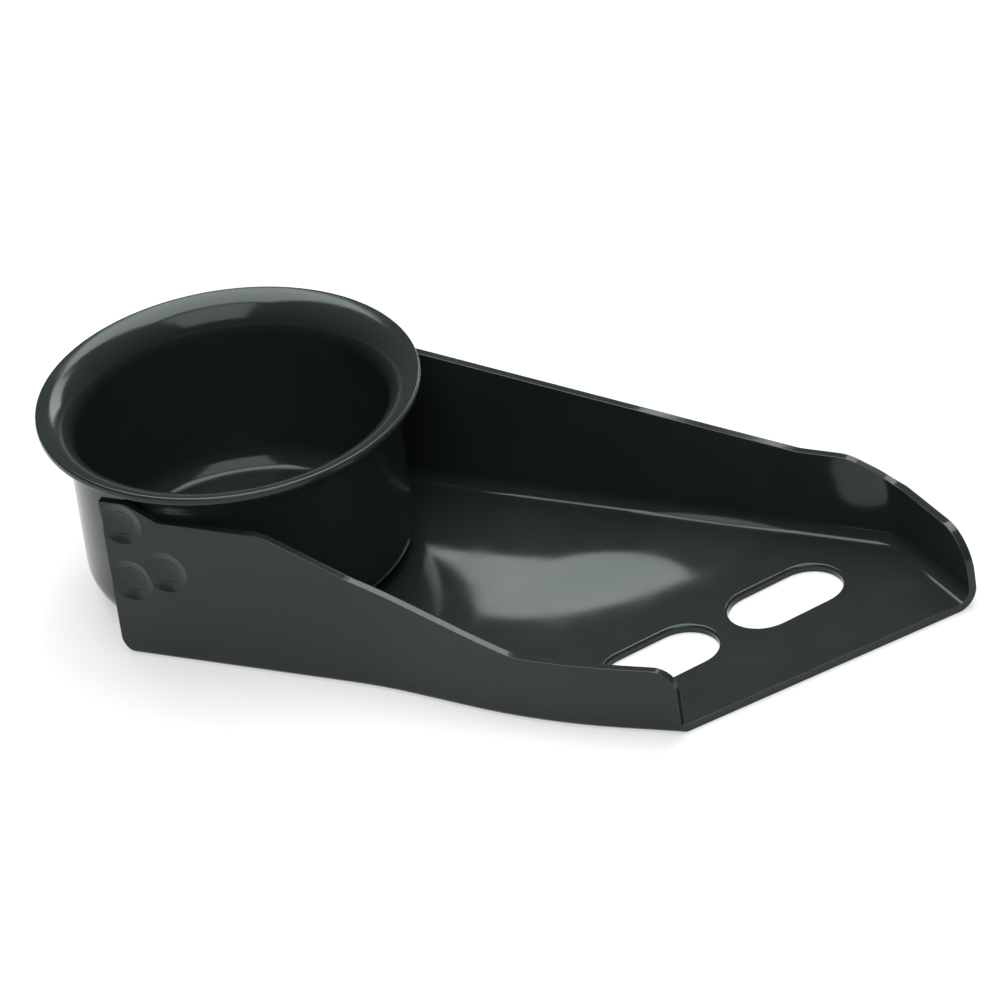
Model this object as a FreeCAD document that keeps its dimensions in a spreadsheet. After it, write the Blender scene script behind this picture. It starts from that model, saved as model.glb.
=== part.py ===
import FreeCAD, Part
import math
import os
import Sketcher

# Cup bracket: a drawn steel cup welded into a pressed steel channel arm.
#
# The arm is bolted down through two slots near its skewed end. The row frame has its
# origin midway between the two slots on the underside of the arm, +Y along the slots,
# +X out past the arm's end edge and +Z up. The arm and the cup are modelled in the
# arm's own frame: origin on the cup's axis at the underside of the arm, x along the
# arm, y towards the far wall.

ARM_DIRECTION = FreeCAD.Vector(1, 0, 0)
UP = FreeCAD.Vector(0, 0, 1)
EXACT = 1e-6   # mm, for points that lie on one plane by construction
NEAR = 0.01    # mm, for points found again after a cut

DIMENSIONS = {
    # cup: drawn from flat sheet, with a trumpet-shaped rim
    "cup_radius": 40.75,
    "cup_sheet": 2.0,
    "cup_depth": 49.0,
    "cup_corner": 8.0,
    "rim_flare": 6.75,
    "lip_round": 0.6,
    # arm: pressed channel
    "arm_sheet": 2.0,
    "near_bend_inside": 0.6,
    "near_bend_outside": 1.5,
    "far_bend_inside": 3.5,
    "fit_gap": 0.25,
    "tail_length": 16.0,
    "tail_corner": 5.0,
    "tail_corner_depth": 6.0,
    "wall_below_rim": 10.8,
    # plan of the near wall: straight beside the cup, then bellied outwards
    "straight_past_cup": 4.25,
    "splay_radius": 140.0,
    "splay_angle": 7.0,
    "belly_from_end": 35.6,
    "belly_radius": 164.0,
    # plan of the end: skewed end edge and the far wall that turns to meet it squarely
    "end_angle": 53.4,
    "end_reach": 132.9,
    "far_reach": 127.6,
    "far_turn_radius": 16.0,
    # top edge of the near wall
    "ear_below_rim": 6.5,
    "ear_length": 7.0,
    "ear_slope": 8.0,
    "near_fall_start": 26.5,
    "near_knee": 48.0,
    "near_knee_drop": 9.4,
    "near_foot": 92.0,
    "near_low_height": 17.6,
    "near_corner": 6.0,
    # top edge of the far wall
    "far_fall_start": 30.0,
    "far_foot_before_turn": 25.1,
    "far_low_drop": 15.2,
    "far_step_before_turn": 12.1,
    "far_step_run": 12.0,
    "far_step_drop": 5.4,
    "far_corner": 10.0,
    "end_edge_least": 0.5,   # of straight edge between the far corner and the bend
    "edge_blend": 12.0,
    "ear_blend": 4.0,
    # slots for two bolts
    "slot_angle": 57.5,
    "slot_width": 17.2,
    "slot_length": 30.8,
    "slot_web": 6.2,
    "slot_edge_round": 0.8,
    "slots_from_end": 30.0,
    "slots_from_far_wall": 54.05,
    # welds: dished plugs through the walls into the cup
    "dish_radius": 5.8,
    "dish_depth": 1.3,
    "plug_radius": 3.2,
    "plug_gap": 0.03,
}

# place of each weld in a wall: along the arm, and below the cup's rim
WELDS = {
    "upper": ("weld_upper_along", -11.2, "weld_upper_below_rim", 12.6),
    "lower": ("weld_lower_along", -10.6, "weld_lower_below_rim", 29.0),
    "middle": ("weld_middle_along", -0.9, "weld_middle_below_rim", 25.2),
}

# sizes that follow from the others
DERIVED = {
    "rim_radius": "cup_radius + rim_flare",
    "rim_height": "arm_sheet + cup_depth",
    "half_width": "cup_radius + fit_gap + arm_sheet",
    "wall_height": "rim_height - wall_below_rim",
    "ear_height": "rim_height - ear_below_rim",
    "near_knee_height": "wall_height - near_knee_drop",
    "near_straight": "cup_radius + straight_past_cup",
    "near_end": "(end_reach - half_width * cos(end_angle)) / sin(end_angle)",
    "belly_middle": "near_end - belly_from_end",
    "far_low_height": "wall_height - far_low_drop",
    "far_end_height": "far_low_height - far_step_drop",
    "far_corner_fit": "min(far_corner, far_end_height - far_bend_inside - arm_sheet - end_edge_least)",
    "far_turn": "(far_reach - half_width * sin(end_angle)) / cos(end_angle)",
    "far_foot": "far_turn - far_foot_before_turn",
    "far_step_start": "far_turn - far_step_before_turn",
    "far_step_end": "far_step_start + far_step_run",
    "slot_pitch": "slot_length + slot_web",
    "pad_along": "sin(end_angle) * (end_reach - slots_from_end)"
                 " + cos(end_angle) * (far_reach - slots_from_far_wall)",
    "pad_side": "sin(end_angle) * (far_reach - slots_from_far_wall)"
                " - cos(end_angle) * (end_reach - slots_from_end)",
}

doc = FreeCAD.newDocument("cup_bracket")
sheet = doc.addObject("Spreadsheet::Sheet", "dims")


def write_sheet():
    """Put every driving dimension in its own named cell."""
    cells = dict(DIMENSIONS)
    for along_name, along, drop_name, drop in WELDS.values():
        cells[along_name] = along
        cells[drop_name] = drop
    cells["degree"] = "=1 deg"
    for name, formula in DERIVED.items():
        formula = formula.replace("(end_angle)", "(end_angle * degree)")
        cells[name] = f"={formula}"
    for row, (name, value) in enumerate(cells.items(), start=1):
        sheet.set(f"A{row}", name)
        sheet.set(f"B{row}", str(value))
        sheet.setAlias(f"B{row}", name)
    doc.recompute()
    return {name: float(getattr(sheet, name)) for name in cells}


D = write_sheet()
TALLEST = "(dims.rim_height + 2)"


def bind(owner, **expressions):
    """Bind properties to sheet expressions; double underscores stand for dots."""
    for name, expression in expressions.items():
        owner.setExpression(name.replace("__", "."), expression)


def new_body(label):
    body = doc.addObject("PartDesign::Body", label)
    body.Label = label
    return body


def origin_plane(body, role):
    for feature in body.Origin.OriginFeatures:
        if feature.Role == role:
            return feature
    raise ValueError(role)


def new_sketch(body, name, role="XY_Plane"):
    sketch = body.newObject("Sketcher::SketchObject", name)
    sketch.AttachmentSupport = [(origin_plane(body, role), "")]
    sketch.MapMode = "FlatFace"
    return sketch


def limit(sketch, name, constraint, expression):
    """Add a named dimension to a sketch and bind it to the sheet."""
    index = sketch.addConstraint(constraint)
    sketch.renameConstraint(index, name)
    sketch.setExpression(f"Constraints.{name}", expression)


def point(sketch_x, sketch_y):
    return FreeCAD.Vector(sketch_x, sketch_y, 0)


def value_of(expression):
    return float(sheet.evalExpression(expression))


def polygon(sketch, corners):
    """Closed polygon of lines through corners given as (x, y) expression pairs."""
    places = [point(value_of(x), value_of(y)) for x, y in corners]
    count = len(places)
    for i, place in enumerate(places):
        sketch.addGeometry(Part.LineSegment(place, places[(i + 1) % count]), False)
    for i, (x, y) in enumerate(corners):
        sketch.addConstraint(Sketcher.Constraint("Coincident", i, 2, (i + 1) % count, 1))
        across = Sketcher.Constraint("DistanceX", -1, 1, i, 1, places[i].x)
        up = Sketcher.Constraint("DistanceY", -1, 1, i, 1, places[i].y)
        limit(sketch, f"across{i}", across, x)
        limit(sketch, f"up{i}", up, y)


def lines_meet(first, second):
    """Where two lines cross, each given as (point, direction)."""
    (p, d), (q, e) = first, second
    across = d.x * e.y - d.y * e.x
    step = ((q.x - p.x) * e.y - (q.y - p.y) * e.x) / across
    return p + d * step


def direction(degrees):
    angle = math.radians(degrees)
    return point(math.cos(angle), math.sin(angle))


def arc_between(centre, radius, start, end):
    circle = Part.Circle(centre, UP, radius)
    return Part.ArcOfCircle(circle, math.radians(start), math.radians(end))


def channel_outline(sketch):
    """Plan of the channel's outer faces, from the tail round the skewed end."""
    half = D["half_width"]
    splay = D["splay_angle"]
    end = D["end_angle"]
    tail_near = point(-D["tail_length"], -half)
    splay_start = point(D["near_straight"], -half)
    splay_centre = splay_start - point(0, D["splay_radius"])
    splay_end = splay_centre + direction(90 - splay) * D["splay_radius"]
    reach = D["belly_middle"] - D["belly_radius"] * math.sin(math.radians(splay)) - splay_end.x
    belly_start = splay_end + direction(-splay) * (reach / math.cos(math.radians(splay)))
    belly_centre = belly_start + direction(90 - splay) * D["belly_radius"]
    belly_end = belly_centre + direction(splay - 90) * D["belly_radius"]
    end_edge = (direction(end - 90) * D["end_reach"], direction(end))
    far_end_wall = (direction(end) * D["far_reach"], direction(end + 90))
    near_corner = lines_meet((belly_end, direction(splay)), end_edge)
    far_corner = lines_meet(end_edge, far_end_wall)
    turn = lines_meet(far_end_wall, (point(0, half), ARM_DIRECTION))
    trim = D["far_turn_radius"] * math.tan(math.radians(90 - end) / 2)
    turn_start = turn - direction(end + 90) * trim
    turn_end = turn - point(trim, 0)
    turn_centre = turn_end - point(0, D["far_turn_radius"])
    tail_far = point(-D["tail_length"], half)

    near_line, splay_arc, splay_line, belly_arc, near_end_line, end_line, far_end_line = range(7)
    turn_arc, far_line, tail_line = 7, 8, 9
    sketch.addGeometry(Part.LineSegment(tail_near, splay_start), False)
    sketch.addGeometry(arc_between(splay_centre, D["splay_radius"], 90 - splay, 90), False)
    sketch.addGeometry(Part.LineSegment(splay_end, belly_start), False)
    sketch.addGeometry(arc_between(belly_centre, D["belly_radius"], -90 - splay, splay - 90), False)
    sketch.addGeometry(Part.LineSegment(belly_end, near_corner), False)
    sketch.addGeometry(Part.LineSegment(near_corner, far_corner), False)
    sketch.addGeometry(Part.LineSegment(far_corner, turn_start), False)
    sketch.addGeometry(arc_between(turn_centre, D["far_turn_radius"], end, 90), False)
    sketch.addGeometry(Part.LineSegment(turn_end, tail_far), False)
    sketch.addGeometry(Part.LineSegment(tail_far, tail_near), False)

    def join(kind, *ends):
        sketch.addConstraint(Sketcher.Constraint(kind, *ends))

    join("Tangent", near_line, 2, splay_arc, 2)
    join("Tangent", splay_arc, 1, splay_line, 1)
    join("Tangent", splay_line, 2, belly_arc, 1)
    join("Tangent", belly_arc, 2, near_end_line, 1)
    join("Coincident", near_end_line, 2, end_line, 1)
    join("Coincident", end_line, 2, far_end_line, 1)
    join("Tangent", far_end_line, 2, turn_arc, 1)
    join("Tangent", turn_arc, 2, far_line, 1)
    join("Coincident", far_line, 2, tail_line, 1)
    join("Coincident", tail_line, 2, near_line, 1)
    join("Horizontal", near_line)
    join("Horizontal", far_line)
    join("Vertical", tail_line)
    join("Perpendicular", end_line, far_end_line)

    rule = Sketcher.Constraint
    limit(sketch, "tail", rule("DistanceX", near_line, 1, -1, 1, D["tail_length"]), "dims.tail_length")
    limit(sketch, "near_side", rule("DistanceY", near_line, 1, -1, 1, half), "dims.half_width")
    limit(sketch, "far_side", rule("DistanceY", -1, 1, far_line, 2, half), "dims.half_width")
    limit(sketch, "straight", rule("DistanceX", -1, 1, near_line, 2, splay_start.x), "dims.near_straight")
    limit(sketch, "splay_radius", rule("Radius", splay_arc, D["splay_radius"]), "dims.splay_radius")
    limit(sketch, "belly_radius", rule("Radius", belly_arc, D["belly_radius"]), "dims.belly_radius")
    limit(sketch, "turn_radius", rule("Radius", turn_arc, D["far_turn_radius"]), "dims.far_turn_radius")
    limit(sketch, "belly", rule("DistanceX", -1, 1, belly_arc, 3, belly_centre.x), "dims.belly_middle")
    limit(sketch, "splay_out", rule("Angle", splay_line, 1, near_line, 1, math.radians(splay)),
          "dims.splay_angle")
    limit(sketch, "splay_back", rule("Angle", near_line, 1, near_end_line, 1, math.radians(splay)),
          "dims.splay_angle")
    limit(sketch, "end_angle", rule("Angle", near_line, 1, end_line, 1, math.radians(end)),
          "dims.end_angle")
    limit(sketch, "end_reach", rule("Distance", -1, 1, end_line, D["end_reach"]), "dims.end_reach")
    limit(sketch, "far_reach", rule("Distance", -1, 1, far_end_line, D["far_reach"]), "dims.far_reach")
    tip = sketch.addConstraint(rule("DistanceX", -1, 1, near_end_line, 2, near_corner.x))
    sketch.renameConstraint(tip, "tip_along")
    sketch.setDriving(tip, False)


def edge_names(shape, wanted):
    return [f"Edge{i}" for i, edge in enumerate(shape.Edges, start=1) if wanted(edge)]


def round_edges(body, name, wanted, **radius):
    """Fillet every edge of the body's tip that the test picks out."""
    base = body.Tip
    names = edge_names(base.Shape, wanted)
    if not names:
        raise ValueError(f"no edge for {name}")
    fillet = body.newObject("PartDesign::Fillet", name)
    fillet.Base = (base, names)
    bind(fillet, **radius)
    doc.recompute()
    return fillet


def cut(body, sketch, name, **settings):
    """Pocket a sketch and make sure that it removed material."""
    before = body.Tip.Shape.Volume
    pocket = body.newObject("PartDesign::Pocket", name)
    pocket.Profile = sketch
    for key, value in settings.items():
        setattr(pocket, key, value)
    doc.recompute()
    if not pocket.Shape.Volume < before:
        raise ValueError(f"{name} cuts nothing")
    return pocket


def end_gap(vertex):
    """Distance of a vertex from the plane of the arm's end edge."""
    return abs(vertex.Point.dot(direction(D["end_angle"] - 90)) - D["end_reach"])


def build_channel(body):
    """Floor and both walls of one sheet, bent up on inside radii."""
    outline = new_sketch(body, "channel_plan")
    channel_outline(outline)
    blank = body.newObject("PartDesign::Pad", "channel_block")
    blank.Profile = outline
    bind(blank, Length=TALLEST)
    doc.recompute()

    def at_tail(shape):
        return all(abs(v.X + D["tail_length"]) < EXACT for v in shape.Vertexes)

    def at_end(shape):
        return all(end_gap(v) < EXACT for v in shape.Vertexes)

    def fold(near, height):
        """Test for the edges of one wall's fold, at one height."""

        def wanted(edge):
            on_level = all(abs(v.Z - height) < EXACT for v in edge.Vertexes)
            on_side = (edge.CenterOfMass.y < 0) == near
            return on_level and on_side and not at_tail(edge) and not at_end(edge)

        return wanted

    round_edges(body, "far_bend", fold(False, 0), Radius="dims.far_bend_inside + dims.arm_sheet")

    def is_open(face):
        on_top = face.CenterOfMass.z > D["rim_height"]
        return on_top or at_tail(face) or at_end(face)

    solid = body.Tip
    shell = body.newObject("PartDesign::Thickness", "sheet")
    open_faces = [f"Face{i}" for i, face in enumerate(solid.Shape.Faces, start=1) if is_open(face)]
    shell.Base = (solid, open_faces)
    shell.Reversed = True
    shell.Join = "Intersection"
    bind(shell, Value="dims.arm_sheet")
    doc.recompute()
    round_edges(body, "near_bend_inner", fold(True, D["arm_sheet"]), Radius="dims.near_bend_inside")
    round_edges(body, "near_bend_outer", fold(True, 0), Radius="dims.near_bend_outside")


def wall_profile(body, name, line, far_wall):
    """Cut one wall down to the top edge given by (along, height) expression pairs."""
    above = f"{TALLEST} + 2"
    first = line[0][0]
    last = line[-1][0]
    sketch = new_sketch(body, name, "XZ_Plane")
    polygon(sketch, line + [(last, above), (first, above)])
    cut(body, sketch, name + "_cut", Type="ThroughAll", Reversed=not far_wall)


BEHIND_TAIL = "-dims.tail_length - 2"
PAST_END = "(dims.end_reach + dims.far_reach)"
NEAR_TIP = "channel_plan.Constraints.tip_along"

NEAR_TOP = [
    (BEHIND_TAIL, "dims.ear_height"),
    ("dims.ear_length - dims.tail_length", "dims.ear_height"),
    ("dims.ear_length + dims.ear_slope - dims.tail_length", "dims.wall_height"),
    ("dims.near_fall_start", "dims.wall_height"),
    ("dims.near_knee", "dims.near_knee_height"),
    ("dims.near_foot", "dims.near_low_height"),
    (PAST_END, "dims.near_low_height"),
]

FAR_TOP = [
    (BEHIND_TAIL, "dims.wall_height"),
    ("dims.far_fall_start", "dims.wall_height"),
    ("dims.far_foot", "dims.far_low_height"),
    ("dims.far_step_start", "dims.far_low_height"),
    ("dims.far_step_end", "dims.far_end_height"),
    (PAST_END, "dims.far_end_height"),
]


def cross_edge_at(along, height, near):
    """Test for the short edge across a wall's top at one corner of its profile."""
    x = value_of(along)
    z = value_of(height)

    def wanted(edge):
        ends = [v.Point for v in edge.Vertexes]
        on_wall = all((p.y < 0) == near for p in ends)
        return on_wall and all(abs(p.x - x) < NEAR and abs(p.z - z) < NEAR for p in ends)

    return wanted


def far_end_corner(edge):
    """Test for the short edge where the far wall's top meets the arm's end."""
    on_wall = all(v.Y > 0 and abs(v.Z - D["far_end_height"]) < NEAR for v in edge.Vertexes)
    return on_wall and all(end_gap(v) < NEAR for v in edge.Vertexes)


def square_near_end(body):
    """End the near wall square to its own sheet, above the skewed edge of the floor."""
    above = f"{TALLEST} + 2"
    sketch = new_sketch(body, "near_end", "XZ_Plane")
    polygon(sketch, [(NEAR_TIP, "dims.arm_sheet"), (PAST_END, "dims.arm_sheet"),
                     (PAST_END, above), (NEAR_TIP, above)])
    cut(body, sketch, "near_end_cut", Type="ThroughAll", Reversed=True)


def round_tail_corners(body):
    """Round the lower tail corner of each wall, where the blank is notched for its fold."""
    for near in (True, False):
        side = "near" if near else "far"
        sketch = new_sketch(body, f"{side}_tail", "XZ_Plane")
        bind(sketch, AttachmentOffset__Base__z="dims.half_width" if near else "-dims.half_width")
        radius = D["tail_corner"]
        tail = -D["tail_length"]
        margin = 1.0
        corners = [point(tail - margin, radius), point(tail - margin, -margin),
                   point(tail + radius, -margin), point(tail + radius, 0)]
        for first, second in zip(corners, corners[1:]):
            sketch.addGeometry(Part.LineSegment(first, second), False)
        sketch.addGeometry(arc_between(point(tail + radius, radius), radius, 180, 270), False)
        sketch.addGeometry(Part.LineSegment(point(tail, radius), corners[0]), False)
        back, under, rise, arc, top = range(5)
        rule = Sketcher.Constraint
        sketch.addConstraint(rule("Coincident", back, 2, under, 1))
        sketch.addConstraint(rule("Coincident", under, 2, rise, 1))
        sketch.addConstraint(rule("Coincident", rise, 2, arc, 2))
        sketch.addConstraint(rule("Coincident", arc, 1, top, 1))
        sketch.addConstraint(rule("Coincident", top, 2, back, 1))
        sketch.addConstraint(rule("Vertical", back))
        sketch.addConstraint(rule("Horizontal", under))
        sketch.addConstraint(rule("Vertical", rise))
        sketch.addConstraint(rule("Horizontal", top))
        sketch.addConstraint(rule("PointOnObject", arc, 2, -1))
        sketch.addConstraint(rule("Vertical", arc, 2, arc, 3))
        limit(sketch, "round", rule("Radius", arc, radius), "dims.tail_corner")
        limit(sketch, "tail", rule("DistanceX", arc, 1, -1, 1, -tail), "dims.tail_length")
        sketch.addConstraint(rule("DistanceX", back, 1, arc, 1, margin))
        sketch.addConstraint(rule("DistanceY", under, 1, -1, 1, margin))
        corner_cut = cut(body, sketch, f"{side}_tail_cut", Length=radius, Reversed=not near)
        bind(corner_cut, Length="dims.tail_corner_depth")
        doc.recompute()


def shape_wall_tops(body):
    wall_profile(body, "near_top", NEAR_TOP, far_wall=False)
    wall_profile(body, "far_top", FAR_TOP, far_wall=True)
    ear_corners = 2
    for i, (along, height) in enumerate(NEAR_TOP[1:-1]):
        radius = "dims.ear_blend" if i < ear_corners else "dims.edge_blend"
        round_edges(body, f"near_blend{i}", cross_edge_at(along, height, near=True), Radius=radius)
    for i, (along, height) in enumerate(FAR_TOP[1:-1]):
        round_edges(body, f"far_blend{i}", cross_edge_at(along, height, near=False),
                    Radius="dims.edge_blend")
    square_near_end(body)
    round_edges(body, "near_end_corner", cross_edge_at(NEAR_TIP, "dims.near_low_height", near=True),
                Radius="dims.near_corner")
    round_edges(body, "far_end_corner", far_end_corner, Radius="dims.far_corner_fit")
    round_tail_corners(body)


def cut_slots(body):
    """Two slots end to end on one line, each a straight run with round ends."""
    sketch = new_sketch(body, "slots")
    bind(sketch, AttachmentOffset__Base__x="dims.pad_along",
         AttachmentOffset__Base__y="dims.pad_side",
         AttachmentOffset__Rotation__Angle="dims.slot_angle")
    radius = D["slot_width"] / 2
    run = D["slot_length"] / 2 - radius
    for side in (-1, 1):
        middle = side * D["slot_pitch"] / 2
        first = sketch.GeometryCount
        left, right, bottom, top = range(first, first + 4)
        sketch.addGeometry(arc_between(point(middle - run, 0), radius, 90, 270), False)
        sketch.addGeometry(arc_between(point(middle + run, 0), radius, -90, 90), False)
        corners = [point(middle + i * run, j * radius) for i, j in ((-1, -1), (1, -1), (1, 1), (-1, 1))]
        sketch.addGeometry(Part.LineSegment(corners[0], corners[1]), False)
        sketch.addGeometry(Part.LineSegment(corners[2], corners[3]), False)
        rule = Sketcher.Constraint
        sketch.addConstraint(rule("Tangent", left, 2, bottom, 1))
        sketch.addConstraint(rule("Tangent", bottom, 2, right, 1))
        sketch.addConstraint(rule("Tangent", right, 2, top, 1))
        sketch.addConstraint(rule("Tangent", top, 2, left, 1))
        sketch.addConstraint(rule("PointOnObject", left, 3, -1))
        sketch.addConstraint(rule("PointOnObject", right, 3, -1))
        inner, outer = (right, left) if side < 0 else (left, right)
        tag = "near" if side < 0 else "far"
        limit(sketch, f"{tag}_width", rule("Radius", left, radius), "dims.slot_width / 2")
        half_run = "(dims.slot_length - dims.slot_width) / 2"
        for end, distance, sign in ((inner, abs(middle) - run, "-"), (outer, abs(middle) + run, "+")):
            from_origin = (end, 3, -1, 1) if side < 0 else (-1, 1, end, 3)
            limit(sketch, f"{tag}_centre{end}", rule("DistanceX", *from_origin, distance),
                  f"dims.slot_pitch / 2 {sign} {half_run}")
    cut(body, sketch, "slot_cut", Type="ThroughAll", Reversed=True)

    pad = point(D["pad_along"], D["pad_side"])
    farthest = (D["slot_pitch"] + D["slot_length"]) / 2

    def on_pad(edge):
        """Test for the slots' edges on the upper face of the floor."""
        level = all(abs(v.Z - D["arm_sheet"]) < NEAR for v in edge.Vertexes)
        return level and all(math.hypot(v.X - pad.x, v.Y - pad.y) < farthest for v in edge.Vertexes)

    round_edges(body, "slot_edges", on_pad, Radius="dims.slot_edge_round")


def weld_height(drop_name):
    return f"(dims.rim_height - dims.{drop_name})"


DISH_SPHERE = "((dims.dish_radius ^ 2 + dims.dish_depth ^ 2) / (2 * dims.dish_depth))"
DISH_CENTRE = f"(dims.half_width + {DISH_SPHERE} - dims.dish_depth)"


def press_weld_dishes(body):
    """Round dishes in the outside of both walls, with a hole at the bottom of each."""
    holes = new_sketch(body, "plug_holes", "XZ_Plane")
    for i, (name, (along_name, along, drop_name, drop)) in enumerate(WELDS.items()):
        height = D["rim_height"] - drop
        circle = Part.Circle(point(along, height), UP, D["plug_radius"])
        holes.addGeometry(circle, False)
        rule = Sketcher.Constraint
        limit(holes, f"{name}_radius", rule("Radius", i, D["plug_radius"]), "dims.plug_radius")
        limit(holes, f"{name}_along", rule("DistanceX", -1, 1, i, 3, along), f"dims.{along_name}")
        limit(holes, f"{name}_height", rule("DistanceY", -1, 1, i, 3, height), weld_height(drop_name))
    cut(body, holes, "plug_hole_cut", Type="ThroughAll", Midplane=True)
    for near in (True, False):
        for name, (along_name, _, drop_name, _) in WELDS.items():
            dish = body.newObject("PartDesign::SubtractiveSphere", f"dish_{name}")
            dish.AttachmentSupport = [(origin_plane(body, "XZ_Plane"), "")]
            dish.MapMode = "FlatFace"
            bind(dish, Radius=DISH_SPHERE,
                 AttachmentOffset__Base__x=f"dims.{along_name}",
                 AttachmentOffset__Base__y=weld_height(drop_name),
                 AttachmentOffset__Base__z=DISH_CENTRE if near else f"-{DISH_CENTRE}")
            doc.recompute()


def build_arm():
    body = new_body("channel_arm")
    build_channel(body)
    shape_wall_tops(body)
    cut_slots(body)
    press_weld_dishes(body)
    return body


def build_cup():
    """Drawn cup: flat bottom, rounded corner, straight wall and flared rim."""
    body = new_body("drawn_cup")
    sketch = new_sketch(body, "cup_section", "XZ_Plane")
    radius = D["cup_radius"]
    gauge = D["cup_sheet"]
    depth = D["cup_depth"]
    corner = D["cup_corner"]
    rim = D["rim_radius"]
    flare = D["rim_flare"]
    under_rim = depth - gauge - flare
    bottom, corner_out, wall_out, flare_out, lip = range(5)
    flare_in, wall_in, corner_in, bottom_in, centre_line = range(5, 10)

    def line(x1, y1, x2, y2):
        sketch.addGeometry(Part.LineSegment(point(x1, y1), point(x2, y2)), False)

    def arc(x, y, arc_radius, start, end):
        sketch.addGeometry(arc_between(point(x, y), arc_radius, start, end), False)

    line(0, 0, radius - corner, 0)
    arc(radius - corner, corner, corner, 270, 360)
    line(radius, corner, radius, under_rim)
    arc(rim, under_rim, flare, 90, 180)
    line(rim, depth - gauge, rim, depth)
    arc(rim, under_rim, flare + gauge, 90, 180)
    line(radius - gauge, under_rim, radius - gauge, corner)
    arc(radius - corner, corner, corner - gauge, 270, 360)
    line(radius - corner, gauge, 0, gauge)
    line(0, gauge, 0, 0)

    def join(kind, *ends):
        sketch.addConstraint(Sketcher.Constraint(kind, *ends))

    join("Tangent", bottom, 2, corner_out, 1)
    join("Tangent", corner_out, 2, wall_out, 1)
    join("Tangent", wall_out, 2, flare_out, 2)
    join("Coincident", flare_out, 1, lip, 1)
    join("Coincident", lip, 2, flare_in, 1)
    join("Tangent", flare_in, 2, wall_in, 1)
    join("Tangent", wall_in, 2, corner_in, 2)
    join("Tangent", corner_in, 1, bottom_in, 1)
    join("Coincident", bottom_in, 2, centre_line, 1)
    join("Coincident", centre_line, 2, bottom, 1)
    join("Coincident", bottom, 1, -1, 1)
    join("Horizontal", bottom)
    join("Horizontal", bottom_in)
    join("Vertical", wall_out)
    join("Vertical", wall_in)
    join("Vertical", lip)
    join("Vertical", centre_line)
    join("Coincident", flare_out, 3, flare_in, 3)
    join("Coincident", corner_out, 3, corner_in, 3)
    rule = Sketcher.Constraint
    limit(sketch, "outside", rule("DistanceX", centre_line, 1, wall_out, 1, radius), "dims.cup_radius")
    limit(sketch, "rim", rule("DistanceX", centre_line, 1, lip, 1, rim), "dims.rim_radius")
    limit(sketch, "corner", rule("Radius", corner_out, corner), "dims.cup_corner")
    limit(sketch, "gauge", rule("DistanceY", centre_line, 2, centre_line, 1, gauge), "dims.cup_sheet")
    limit(sketch, "depth", rule("DistanceY", centre_line, 2, lip, 2, depth), "dims.cup_depth")
    limit(sketch, "flare_centre", rule("DistanceX", centre_line, 1, flare_out, 3, rim), "dims.rim_radius")

    turned = body.newObject("PartDesign::Revolution", "cup_shell")
    turned.Profile = sketch
    turned.ReferenceAxis = (sketch, ["V_Axis"])
    turned.Angle = 360
    doc.recompute()

    def on_lip(edge):
        at_rim = all(abs(math.hypot(v.X, v.Y) - rim) < NEAR for v in edge.Vertexes)
        return at_rim and isinstance(edge.Curve, Part.Circle)

    round_edges(body, "lip_rounding", on_lip, Radius="dims.lip_round")
    return body


def build_plugs(label, near):
    """Three weld plugs, each filling a wall's hole from its dish to the cup."""
    side = -1 if near else 1
    plugs = []
    for name, (along_name, _, drop_name, _) in WELDS.items():
        rod = doc.addObject("Part::Cylinder", f"{label}_rod_{name}")
        rod.Placement = FreeCAD.Placement(point(0, 0), FreeCAD.Rotation(ARM_DIRECTION, side * -90))
        bind(rod, Radius="dims.plug_radius - dims.plug_gap", Height="dims.cup_radius / 2",
             Placement__Base__x=f"dims.{along_name}",
             Placement__Base__y=f"{side} * dims.half_width - {side} * dims.cup_radius / 2",
             Placement__Base__z=weld_height(drop_name))
        ball = doc.addObject("Part::Sphere", f"{label}_dish_{name}")
        bind(ball, Radius=DISH_SPHERE, Placement__Base__x=f"dims.{along_name}",
             Placement__Base__y=f"{side} * {DISH_CENTRE}", Placement__Base__z=weld_height(drop_name))
        barrel = doc.addObject("Part::Cylinder", f"{label}_seat_{name}")
        bind(barrel, Radius="dims.cup_radius + dims.plug_gap", Height=TALLEST)
        dished = doc.addObject("Part::Cut", f"{label}_dished_{name}")
        dished.Base = rod
        dished.Tool = ball
        plug = doc.addObject("Part::Cut", f"{label}_{name}")
        plug.Base = dished
        plug.Tool = barrel
        plugs.append(plug)
    group = doc.addObject("Part::Compound", label)
    group.Label = label
    group.Links = plugs
    return group


def place(piece, height):
    """Turn a piece from the arm's frame into the row frame and set its height."""
    piece.Placement = FreeCAD.Placement(point(0, 0), FreeCAD.Rotation(UP, 90 - D["slot_angle"]))
    turn = "(90 - dims.slot_angle)"
    bind(piece, Placement__Rotation__Angle=turn,
         Placement__Base__x=f"dims.pad_side * sin{turn} - dims.pad_along * cos{turn}",
         Placement__Base__y=f"-dims.pad_along * sin{turn} - dims.pad_side * cos{turn}",
         Placement__Base__z=height)


def check_document():
    for item in doc.Objects:
        if "Invalid" in item.State or "Error" in item.State:
            raise RuntimeError(f"{item.Label}: {item.State}")


def write_steps(pieces):
    for piece in pieces:
        if piece.Shape.isNull() or not piece.Shape.isValid():
            raise RuntimeError(f"{piece.Label} has no valid shape")
    os.makedirs("parts", exist_ok=True)
    for piece in pieces:
        piece.Shape.exportStep(f"parts/{piece.Label}.step")
        box = piece.Shape.BoundBox
        print(f"{piece.Label}: {len(piece.Shape.Solids)} solids, {piece.Shape.Volume:.0f} mm3, "
              f"x {box.XMin:.1f}..{box.XMax:.1f} y {box.YMin:.1f}..{box.YMax:.1f} "
              f"z {box.ZMin:.1f}..{box.ZMax:.1f}")


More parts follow.
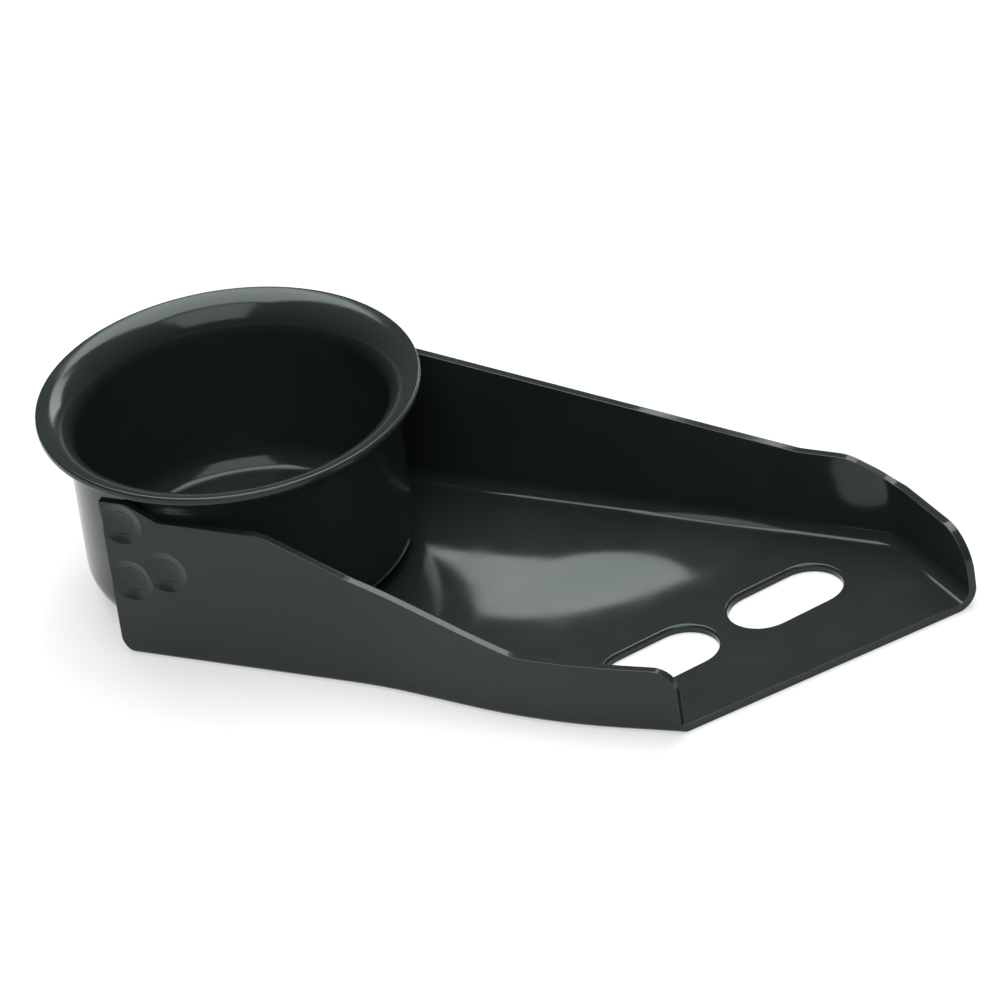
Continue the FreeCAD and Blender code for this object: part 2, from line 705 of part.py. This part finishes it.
arm = build_arm()
cup = build_cup()
near_plugs = build_plugs("near_weld_plugs", near=True)
far_plugs = build_plugs("far_weld_plugs", near=False)
for piece in (arm, near_plugs, far_plugs):
    place(piece, "0")
place(cup, "dims.arm_sheet")
doc.recompute()
check_document()
write_steps([arm, cup, near_plugs, far_plugs])
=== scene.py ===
import math

import bpy
from mathutils import Matrix, Vector


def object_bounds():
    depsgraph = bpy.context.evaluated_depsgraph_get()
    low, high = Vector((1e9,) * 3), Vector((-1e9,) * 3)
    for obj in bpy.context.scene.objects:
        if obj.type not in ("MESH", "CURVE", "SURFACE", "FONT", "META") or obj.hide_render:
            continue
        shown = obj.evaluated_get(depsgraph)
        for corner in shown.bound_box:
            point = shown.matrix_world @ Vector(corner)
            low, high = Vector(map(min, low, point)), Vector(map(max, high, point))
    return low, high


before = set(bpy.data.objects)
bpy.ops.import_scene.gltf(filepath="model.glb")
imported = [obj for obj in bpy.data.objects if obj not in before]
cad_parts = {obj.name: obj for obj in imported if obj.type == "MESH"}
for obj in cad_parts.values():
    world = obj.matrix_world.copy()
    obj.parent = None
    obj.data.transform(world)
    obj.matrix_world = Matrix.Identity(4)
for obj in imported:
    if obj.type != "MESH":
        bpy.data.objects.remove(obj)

cad_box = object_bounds()

# ---------------------------------------------------------------------------
# Channel arm: one 2 mm steel sheet, blanked with its two slots, then pressed
# into a channel with upright walls. It is dipped in stoving enamel after the
# cup is welded in, so one glossy black coat runs over faces, folds and edges.
# ---------------------------------------------------------------------------
MM = 0.001
ENAMEL_BLACK = "242a28"
ENAMEL_DEEP = "2a312f"      # where the coat pools a little thicker
PAINTED_EDGE_HIGHLIGHT = "4a5250"      # a painted highlight: every sheared edge is made paler than the coat
ENAMEL_SHEEN = "f0ffff"     # its reflections are faintly green
ENAMEL_IOR = 1.40
PEEL_WIDTH = 1.6 * MM       # one dimple of the flowed enamel
POOL_WIDTH = 11 * MM        # clouds where the coat is thicker or thinner
POOL_SPREAD = (0.3, 0.7)    # the clouds' noise, from the glossiest coat to the dullest
EDGE_ROUND = 0.35 * MM      # the coat rounds every sheared edge
EDGE_TURN = (0.98, 0.75)    # cosine of the coat's turn where the painted edge highlight starts and is full
ACROSS_ARM = (-0.5373, 0.8434, 0.0)     # from the near wall to the far wall
TO_SLOTS = (0.9854, 0.1712, 0.0)        # from the cup to the slots
HOLLOW_SIDES = (-22 * MM, 38 * MM)      # across the arm, the floor rises between these
HOLLOW_END = (-55 * MM, -12 * MM)       # towards the slots, it lies flat again between these


def linear(hex_colour):
    """sRGB hex to linear RGBA."""
    channels = [int(hex_colour[i:i + 2], 16) / 255 for i in (0, 2, 4)]
    bright = [c / 12.92 if c <= 0.04045 else ((c + 0.055) / 1.055) ** 2.4 for c in channels]
    return (*bright, 1.0)


def add_node(tree, kind, settings=None, **links):
    """Adds a node. Settings are its properties; links are values or sockets for its inputs,
    by name, or by number as i0, i1 where two inputs share a name."""
    node = tree.nodes.new(kind)
    for name, value in (settings or {}).items():
        setattr(node, name, value)
    for name, value in links.items():
        key = int(name[1:]) if name[0] == "i" and name[1:].isdigit() else name.replace("_", " ")
        socket = node.inputs[key]
        if isinstance(value, bpy.types.NodeSocket):
            tree.links.new(value, socket)
        else:
            socket.default_value = value
    return node


def new_material(name):
    """A node material with only its shader and output in place."""
    material = bpy.data.materials.new(name)
    material.use_nodes = True
    tree = material.node_tree
    tree.nodes.clear()
    shader = add_node(tree, "ShaderNodeBsdfPrincipled")
    add_node(tree, "ShaderNodeOutputMaterial", Surface=shader.outputs["BSDF"])
    return material, tree, shader


def stoving_enamel(name, wave_width, wave_depth, peel_depth, gloss_range, hollow=0.0):
    """Dipped and baked enamel: glossy, with faint orange peel over the sheet's own waves."""
    material, tree, shader = new_material(name)
    place = add_node(tree, "ShaderNodeTexCoord").outputs["Object"]
    pool = add_node(tree, "ShaderNodeTexNoise", Vector=place,
                    Scale=1 / POOL_WIDTH, Detail=5.0).outputs["Fac"]
    peel = add_node(tree, "ShaderNodeTexNoise", Vector=place,
                    Scale=1 / PEEL_WIDTH, Detail=2.0).outputs["Fac"]
    wave = add_node(tree, "ShaderNodeTexNoise", Vector=place,
                    Scale=1 / wave_width, Detail=1.0).outputs["Fac"]

    # the sheared edges: rounded over by the coat, and painted paler there as a highlight
    rounded = add_node(tree, "ShaderNodeBevel", {"samples": 8}, Radius=EDGE_ROUND).outputs["Normal"]
    flat = add_node(tree, "ShaderNodeNewGeometry").outputs["Normal"]
    turned = add_node(tree, "ShaderNodeVectorMath", {"operation": "DOT_PRODUCT"},
                      i0=rounded, i1=flat)
    edge_highlight = add_node(tree, "ShaderNodeMapRange", Value=turned.outputs["Value"],
                    From_Min=EDGE_TURN[0], From_Max=EDGE_TURN[1])
    coat = add_node(tree, "ShaderNodeMix", {"data_type": "RGBA"}, Factor=pool,
                    i6=linear(ENAMEL_BLACK), i7=linear(ENAMEL_DEEP))
    # painted highlight: the paler colour is laid along every edge
    colour = add_node(tree, "ShaderNodeMix", {"data_type": "RGBA"}, Factor=edge_highlight.outputs["Result"],
                      i6=coat.outputs[2], i7=linear(PAINTED_EDGE_HIGHLIGHT))
    gloss = add_node(tree, "ShaderNodeMapRange", Value=pool,
                     From_Min=POOL_SPREAD[0], From_Max=POOL_SPREAD[1],
                     To_Min=gloss_range[0], To_Max=gloss_range[1])

    # the broad floor of a pressing: a shallow hollow, shown by shading only
    if hollow:
        side = add_node(tree, "ShaderNodeVectorMath", {"operation": "DOT_PRODUCT"},
                        i0=place, i1=ACROSS_ARM)
        along = add_node(tree, "ShaderNodeVectorMath", {"operation": "DOT_PRODUCT"},
                         i0=place, i1=TO_SLOTS)
        rise = add_node(tree, "ShaderNodeMapRange", {"interpolation_type": "SMOOTHSTEP"},
                        Value=side.outputs["Value"],
                        From_Min=HOLLOW_SIDES[0], From_Max=HOLLOW_SIDES[1])
        fade = add_node(tree, "ShaderNodeMapRange", {"interpolation_type": "SMOOTHSTEP"},
                        Value=along.outputs["Value"],
                        From_Min=HOLLOW_END[0], From_Max=HOLLOW_END[1], To_Min=1.0, To_Max=0.0)
        pressed = add_node(tree, "ShaderNodeMath", {"operation": "MULTIPLY"},
                           i0=rise.outputs["Result"], i1=fade.outputs["Result"])
        rounded = add_node(tree, "ShaderNodeBump", Height=pressed.outputs[0], Strength=1.0,
                           Distance=hollow, Normal=rounded).outputs["Normal"]
    waves = add_node(tree, "ShaderNodeBump", Height=wave, Strength=1.0, Distance=wave_depth,
                     Normal=rounded)
    dimples = add_node(tree, "ShaderNodeBump", Height=peel, Strength=1.0, Distance=peel_depth,
                       Normal=waves.outputs["Normal"])
    shader.inputs["IOR"].default_value = ENAMEL_IOR
    shader.inputs["Specular Tint"].default_value = linear(ENAMEL_SHEEN)
    tree.links.new(colour.outputs[2], shader.inputs["Base Color"])
    tree.links.new(gloss.outputs["Result"], shader.inputs["Roughness"])
    tree.links.new(dimples.outputs["Normal"], shader.inputs["Normal"])
    return material


def paint(node_name, material):
    """Gives a CAD node its finish."""
    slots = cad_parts[node_name].data.materials
    slots.clear()
    slots.append(material)


# the press leaves slow waves in the broad floor and walls
pressed_enamel = stoving_enamel("gloss_black_enamel_on_pressed_steel", wave_width=48 * MM,
                                wave_depth=0.3 * MM, peel_depth=0.006 * MM, gloss_range=(0.10, 0.16),
                                hollow=6.5 * MM)
paint("channel_arm", pressed_enamel)

# ---------------------------------------------------------------------------
# Cup: drawn from one 2 mm steel disc over a round punch, with its rim spun
# outwards like a trumpet's. The same dipped enamel covers it inside and out.
# ---------------------------------------------------------------------------
# drawing stretches the wall smooth, so only shallow waves are left under the coat
drawn_enamel = stoving_enamel("gloss_black_enamel_on_drawn_steel", wave_width=22 * MM,
                              wave_depth=0.07 * MM, peel_depth=0.006 * MM, gloss_range=(0.12, 0.18))
paint("drawn_cup", drawn_enamel)

# ---------------------------------------------------------------------------
# Weld plugs: three welds through dished holes on each side join the arm's
# walls to the cup. The weld metal is left as it set and enamelled over.
# ---------------------------------------------------------------------------
# the set metal keeps fine ripples, so the coat over it shines less evenly
weld_enamel = stoving_enamel("gloss_black_enamel_on_weld_metal", wave_width=2.2 * MM,
                             wave_depth=0.10 * MM, peel_depth=0.010 * MM, gloss_range=(0.18, 0.28))
paint("near_weld_plugs", weld_enamel)
paint("far_weld_plugs", weld_enamel)

# ---------------------------------------------------------------------------
# Camera: a long lens from far off, so that parallel edges stay parallel. It
# looks down on the near wall with a slight roll.
# ---------------------------------------------------------------------------
LOOK_DOWN = math.radians(33.0)
SWING = math.radians(-29.5)     # round the arm, from its x axis
ROLL = math.radians(8.6)
CAMERA_PLACE = Vector((1720.6585, -1029.4826, 1349.3425)) * MM
FOCAL_LENGTH = 360              # mm
FILM_WIDTH = 36                 # mm
FARTHEST_SEEN = 100             # m, past the floor's far edge

scene = bpy.context.scene


def place_object(name, data, centre, across, upward, back):
    """Puts an object at a centre with its three axes given."""
    thing = bpy.data.objects.new(name, data)
    scene.collection.objects.link(thing)
    turn = Matrix((across, upward, back)).transposed().to_4x4()
    thing.matrix_world = Matrix.Translation(centre) @ turn
    return thing


behind = Vector((math.cos(SWING) * math.cos(LOOK_DOWN), math.sin(SWING) * math.cos(LOOK_DOWN),
                 math.sin(LOOK_DOWN)))
level_right = Vector((-math.sin(SWING), math.cos(SWING), 0))
level_up = behind.cross(level_right)
right = level_right * math.cos(ROLL) - level_up * math.sin(ROLL)

lens = bpy.data.cameras.new("camera")
lens.lens = FOCAL_LENGTH
lens.sensor_width = FILM_WIDTH
lens.clip_end = FARTHEST_SEEN
scene.camera = place_object("camera", lens, CAMERA_PLACE, right, behind.cross(right), behind)

# ---------------------------------------------------------------------------
# Studio: a floor of white seamless paper in a dim room, with a large soft
# light overhead, another in front and a small one to the far side.
# ---------------------------------------------------------------------------
FLOOR_HALF = 30.0           # m
FLOOR_DROP = 0.2 * MM       # below the arm, so the two faces don't flicker
PAPER = "b4b4b4"
PAPER_GLOW = 0.52
FIBRE_WIDTH = MM / 0.9
HORIZON_GREY = (0.55, 0.55, 0.55, 1)
ROOM_GREY = (0.075, 0.078, 0.08, 1)
HORIZON_TOP = 0.16          # sine of the height at which the room is fully dim

level = cad_box[0][2] - FLOOR_DROP
corners = [(-1, -1), (1, -1), (1, 1), (-1, 1)]
sheet = bpy.data.meshes.new("floor")
sheet.from_pydata([(x * FLOOR_HALF, y * FLOOR_HALF, level) for x, y in corners], [], [(0, 1, 2, 3)])
floor = bpy.data.objects.new("floor", sheet)
scene.collection.objects.link(floor)

# matt paper: no gloss at all, and white wherever the eye or a reflection meets it
paper, tree, shader = new_material("white_seamless_paper")
fibre = add_node(tree, "ShaderNodeTexNoise", Scale=1 / FIBRE_WIDTH, Detail=3.0).outputs["Fac"]
roughen = add_node(tree, "ShaderNodeMapRange", Value=fibre, To_Min=0.85, To_Max=0.95)
tree.links.new(roughen.outputs["Result"], shader.inputs["Roughness"])
shader.inputs["Base Color"].default_value = linear(PAPER)
shader.inputs["Specular IOR Level"].default_value = 0.0
rays = add_node(tree, "ShaderNodeLightPath").outputs
seen = add_node(tree, "ShaderNodeMath", {"operation": "MAXIMUM"},
                i0=rays["Is Camera Ray"], i1=rays["Is Glossy Ray"])
seen = add_node(tree, "ShaderNodeMath", {"operation": "MAXIMUM"},
                i0=seen.outputs[0], i1=rays["Is Transmission Ray"])
glow = add_node(tree, "ShaderNodeMath", {"operation": "MULTIPLY"},
                i0=seen.outputs[0], i1=PAPER_GLOW)
shader.inputs["Emission Color"].default_value = (1, 1, 1, 1)
tree.links.new(glow.outputs[0], shader.inputs["Emission Strength"])
sheet.materials.append(paper)

# the room: pale at the floor's far edge, dim above
room = bpy.data.worlds.new("studio")
scene.world = room
room.use_nodes = True
tree = room.node_tree
tree.nodes.clear()
way = add_node(tree, "ShaderNodeTexCoord").outputs["Generated"]
height = add_node(tree, "ShaderNodeSeparateXYZ", Vector=way).outputs["Z"]
fade = add_node(tree, "ShaderNodeValToRGB", Fac=height)
low, high = fade.color_ramp.elements
low.color = HORIZON_GREY
high.position = HORIZON_TOP
high.color = ROOM_GREY
walls = add_node(tree, "ShaderNodeBackground", Color=fade.outputs["Color"], Strength=1.0)
add_node(tree, "ShaderNodeOutputWorld", Surface=walls.outputs["Background"])


def softbox(name, direction, distance, across, width, height, power):
    """A rectangular soft light that faces the slots, with its distance and size in metres and
    its power in watts."""
    lamp = bpy.data.lights.new(name, "AREA")
    lamp.shape = "RECTANGLE"
    lamp.size = width
    lamp.size_y = height
    lamp.energy = power
    back = Vector(direction).normalized()
    across = Vector(across)
    across = (across - back * across.dot(back)).normalized()
    light = place_object(name, lamp, back * distance, across, back.cross(across), back)
    light.visible_camera = False


# the sheen on the cup's rim and in the arm's floor
softbox("overhead_softbox", direction=(-0.31, 0.135, 0.941), distance=1.6,
        across=(0.492, 0.870, 0), width=1.35, height=1.5, power=33)
# the near wall and its top edges
softbox("front_softbox", direction=(0.488, -0.297, 0.821), distance=1.68,
        across=(0.521, 0.853, 0), width=1.2, height=1.5, power=13)
# the low left of the cup's rim
softbox("side_softbox", direction=(-0.45, 0.74, 0.50), distance=1.7,
        across=(0.8, 0.6, 0), width=0.5, height=0.7, power=5)

scene.view_settings.view_transform = "Standard"
